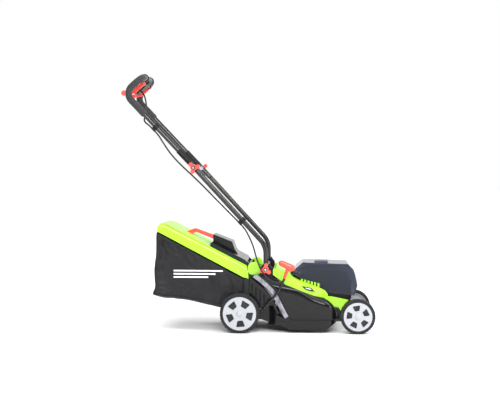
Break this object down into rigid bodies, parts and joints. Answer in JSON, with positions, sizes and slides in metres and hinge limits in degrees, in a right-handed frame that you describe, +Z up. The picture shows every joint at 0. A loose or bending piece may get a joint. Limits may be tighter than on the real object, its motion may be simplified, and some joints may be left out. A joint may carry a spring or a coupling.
{
  "type": "push lawn mower",
  "caption": "Cordless rotary push mower with a rear grass bag, folding handle, height lever and covered battery bay.",
  "frame": {"origin": "centre of the bounding box's base, on the ground", "axes": "+X forward, +Y to the mower's left, +Z up"},
  "size_m": [1.036, 0.422, 1.055],
  "materials": {
    "black_shell": "gloss moulded",
    "green_shell": "gloss moulded",
    "silver_trim": "fine texture",
    "smoked_clear": "smoked clear",
    "inner_black": "fine texture",
    "battery_case": "fine texture",
    "red_plastic": "gloss moulded",
    "steel": "plain",
    "zinc_screw": "plain",
    "black_tube": "black powder coat",
    "foam": "matt",
    "cable_rubber": "matt",
    "board": "fine texture",
    "motor_metal": "cast",
    "blade_steel": "plain",
    "bag_cloth": "woven polyester",
    "rim_silver": "fine texture",
    "tyre_black": "hard rubber"
  },
  "bodies": {
    "root": {"deck_housing": "black_shell", "top_cowl": "green_shell", "quadrant_trim_right": "silver_trim", "quadrant_trim_left": "silver_trim", "battery_housing": "inner_black", "lid_hinge_pin": "steel", "battery_pack_right": "battery_case", "battery_pack_left": "battery_case", "controller_board": "board", "safety_key": "red_plastic", "motor_body": "motor_metal", "motor_screws": "zinc_screw", "flap_hinge_rod": "steel", "flap_spring": "steel", "handle_bracket_right": "inner_black", "handle_bracket_left": "inner_black", "lower_bolts": "zinc_screw", "cable_lower": "cable_rubber"},
    "lid": {"battery_lid": "smoked_clear"},
    "rotor": {"motor_shaft": "steel", "cooling_fan": "inner_black", "blade_adapter": "motor_metal", "blade": "blade_steel", "blade_bolt": "zinc_screw"},
    "flap": {"rear_flap": "black_shell"},
    "grass_bag": {"bag_frame": "green_shell", "bag_fabric": "bag_cloth", "bag_handle": "red_plastic"},
    "lower_handle": {"lower_tube_right": "black_tube", "lower_tube_left": "black_tube", "mid_bolts": "zinc_screw", "lower_cable_clip": "inner_black", "cable_mid": "cable_rubber"},
    "upper_handle": {"upper_handle_tube": "black_tube", "foam_grip": "foam", "joint_sleeves": "inner_black", "switch_box": "inner_black", "bail_shaft": "steel", "shaft_clamps": "inner_black", "upper_cable_clip": "inner_black", "cable_upper": "cable_rubber"},
    "lock": {"lock_button": "red_plastic"},
    "bail": {"bail_lever": "red_plastic"},
    "knob_lower_right": {"lower_knob_right": "red_plastic"},
    "knob_lower_left": {"lower_knob_left": "red_plastic"},
    "knob_mid_right": {"mid_knob_right": "red_plastic"},
    "knob_mid_left": {"mid_knob_left": "red_plastic"},
    "rear_axle": {"rear_crank": "steel", "height_lever": "black_tube", "lever_grip": "red_plastic"},
    "front_axle": {"front_crank": "steel"},
    "link": {"link_rod": "steel"},
    "rear_wheel_right": {"rear_rim_right": "rim_silver", "rear_tyre_right": "tyre_black"},
    "rear_wheel_left": {"rear_rim_left": "rim_silver", "rear_tyre_left": "tyre_black"},
    "front_wheel_right": {"front_rim_right": "rim_silver", "front_tyre_right": "tyre_black"},
    "front_wheel_left": {"front_rim_left": "rim_silver", "front_tyre_left": "tyre_black"}
  },
  "joints": [
    {"name": "lid_hinge", "type": "hinge", "parent": "root", "child": "lid", "pos_m": [0.173, 0, 0.234], "axis": [0, -1, 0], "range_deg": [0, 75]},
    {"name": "blade_spin", "type": "hinge", "parent": "root", "child": "rotor", "pos_m": [0.205, 0, 0.1], "axis": [0, 0, 1], "continuous": true},
    {"name": "flap_hinge", "type": "hinge", "parent": "root", "child": "flap", "pos_m": [0.008, 0, 0.27], "axis": [0, -1, 0], "range_deg": [-65, 0], "stiffness_Nm_per_rad": 0.6, "springref_deg": 51.57},
    {"name": "bag_slide", "type": "slide", "parent": "root", "child": "grass_bag", "axis": [0.8888, 0, -0.4582], "range_m": [-0.45, 0]},
    {"name": "lower_handle_tilt", "type": "hinge", "parent": "root", "child": "lower_handle", "pos_m": [0.078, 0, 0.259], "axis": [0, -1, 0], "range_deg": [-60, 25], "deforming": ["cable_lower"]},
    {"name": "upper_handle_fold", "type": "hinge", "parent": "lower_handle", "child": "upper_handle", "pos_m": [-0.212, 0, 0.667], "axis": [0, 1, 0], "range_deg": [0, 155], "deforming": ["cable_mid"]},
    {"name": "lower_knob_right_turn", "type": "hinge", "parent": "root", "child": "knob_lower_right", "pos_m": [0.078, -0.195, 0.259], "axis": [0, 1, 0], "continuous": true},
    {"name": "lower_knob_left_turn", "type": "hinge", "parent": "root", "child": "knob_lower_left", "pos_m": [0.078, 0.195, 0.259], "axis": [0, 1, 0], "continuous": true},
    {"name": "mid_knob_right_turn", "type": "hinge", "parent": "lower_handle", "child": "knob_mid_right", "pos_m": [-0.212, -0.185, 0.667], "axis": [0, 1, 0], "continuous": true},
    {"name": "mid_knob_left_turn", "type": "hinge", "parent": "lower_handle", "child": "knob_mid_left", "pos_m": [-0.212, 0.185, 0.667], "axis": [0, 1, 0], "continuous": true},
    {"name": "bail_hinge", "type": "hinge", "parent": "upper_handle", "child": "bail", "pos_m": [-0.429, 0, 1.014], "axis": [0, -1, 0], "range_deg": [0, 22], "stiffness_Nm_per_rad": 1, "springref_deg": -22.92},
    {"name": "lock_press", "type": "slide", "parent": "upper_handle", "child": "lock", "axis": [0, 1, 0], "range_m": [0, 0.005], "stiffness_N_per_m": 400, "springref_m": -0.004},
    {"name": "height_adjust", "type": "hinge", "parent": "root", "child": "rear_axle", "pos_m": [-0.084, 0, 0.066], "axis": [0, 1, 0], "range_deg": [0, 35]},
    {"name": "front_axle_lift", "type": "hinge", "parent": "root", "child": "front_axle", "pos_m": [0.391, 0, 0.056], "axis": [0, 1, 0], "range_deg": [0, 35]},
    {"name": "link_swing", "type": "hinge", "parent": "rear_axle", "child": "link", "pos_m": [-0.084, 0.141, 0.082], "axis": [0, 1, 0], "range_deg": [-35, 0]},
    {"name": "rear_wheel_right_spin", "type": "hinge", "parent": "rear_axle", "child": "rear_wheel_right", "pos_m": [-0.027, -0.176, 0.08], "axis": [0, 1, 0], "continuous": true},
    {"name": "rear_wheel_left_spin", "type": "hinge", "parent": "rear_axle", "child": "rear_wheel_left", "pos_m": [-0.027, 0.176, 0.08], "axis": [0, 1, 0], "continuous": true},
    {"name": "front_wheel_right_spin", "type": "hinge", "parent": "front_axle", "child": "front_wheel_right", "pos_m": [0.448, -0.176, 0.07], "axis": [0, 1, 0], "continuous": true},
    {"name": "front_wheel_left_spin", "type": "hinge", "parent": "front_axle", "child": "front_wheel_left", "pos_m": [0.448, 0.176, 0.07], "axis": [0, 1, 0], "continuous": true}
  ],
  "couplings": [
    {"joint": "front_axle_lift", "follows": "height_adjust", "ratio": 1},
    {"joint": "link_swing", "follows": "height_adjust", "ratio": -1}
  ]
}
